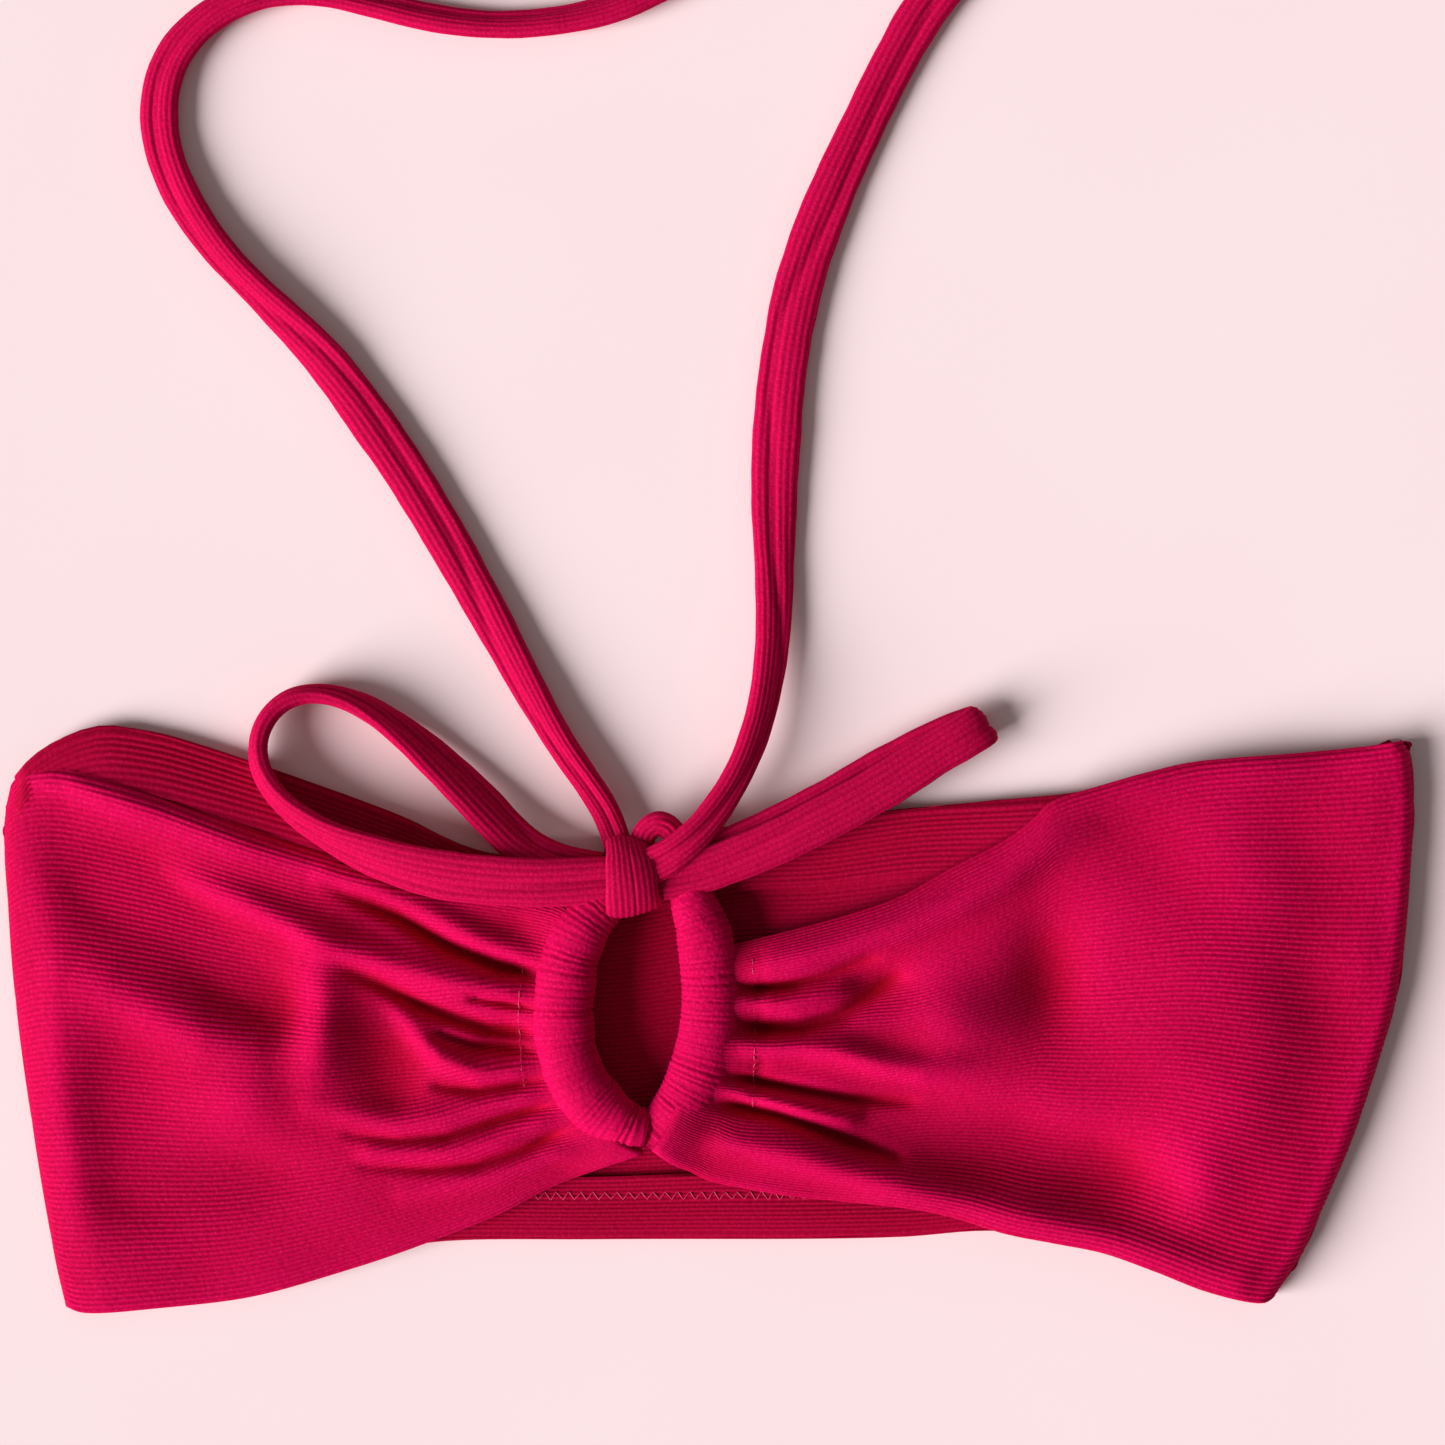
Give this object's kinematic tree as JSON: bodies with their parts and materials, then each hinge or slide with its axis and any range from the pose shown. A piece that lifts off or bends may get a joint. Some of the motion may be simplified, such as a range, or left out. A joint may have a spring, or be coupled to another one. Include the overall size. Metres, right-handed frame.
{
  "type": "halter bandeau swim top",
  "caption": "Gathered halter bandeau top laid flat: ribbed front halves drawn to a keyhole by a cord in casings, tied in a bow, with a loop neck strap and a hemmed back.",
  "frame": {"origin": "middle of the flat garment without its neck strap and bow loops, on the surface it lies on", "axes": "+X across the chest to the wearer's left, +Y up towards the neck, +Z out of the front, away from the surface"},
  "size_m": [0.3518, 0.4115, 0.0177],
  "materials": {
    "ribbed_knit": "ribbed stretch knit, crimson pink, soft sheen",
    "strap_knit": "ribbed stretch knit tube, crimson pink",
    "lining_knit": "the same ribbed stretch knit as the outside, used as a self-lining, deep crimson",
    "elastic_tape": "flat knitted rubber elastic, off-white",
    "sewing_thread": "textured polyester thread, crimson"
  },
  "bodies": {
    "root": {"back_panel": "ribbed_knit", "back_lining": "lining_knit", "back_hem_bottom": "ribbed_knit", "back_hem_top": "ribbed_knit", "back_elastic_bottom": "elastic_tape", "back_elastic_top": "elastic_tape", "back_hem_stitches": "sewing_thread", "drawcord": "strap_knit", "bow_knot": "strap_knit", "knot_back_turn": "strap_knit", "halter_strap": "strap_knit", "bow_loop_left": "strap_knit", "bow_loop_right": "strap_knit", "front_panel_left": "ribbed_knit", "front_lining_left": "lining_knit", "casing_left": "ribbed_knit", "front_hem_top_left": "ribbed_knit", "front_hem_bottom_left": "ribbed_knit", "front_elastic_top_left": "elastic_tape", "front_elastic_bottom_left": "elastic_tape", "gather_seam_left": "sewing_thread", "side_seam_left": "sewing_thread", "front_panel_right": "ribbed_knit", "front_lining_right": "lining_knit", "casing_right": "ribbed_knit", "front_hem_top_right": "ribbed_knit", "front_hem_bottom_right": "ribbed_knit", "front_elastic_top_right": "elastic_tape", "front_elastic_bottom_right": "elastic_tape", "gather_seam_right": "sewing_thread", "side_seam_right": "sewing_thread"}
  },
  "joints": []
}
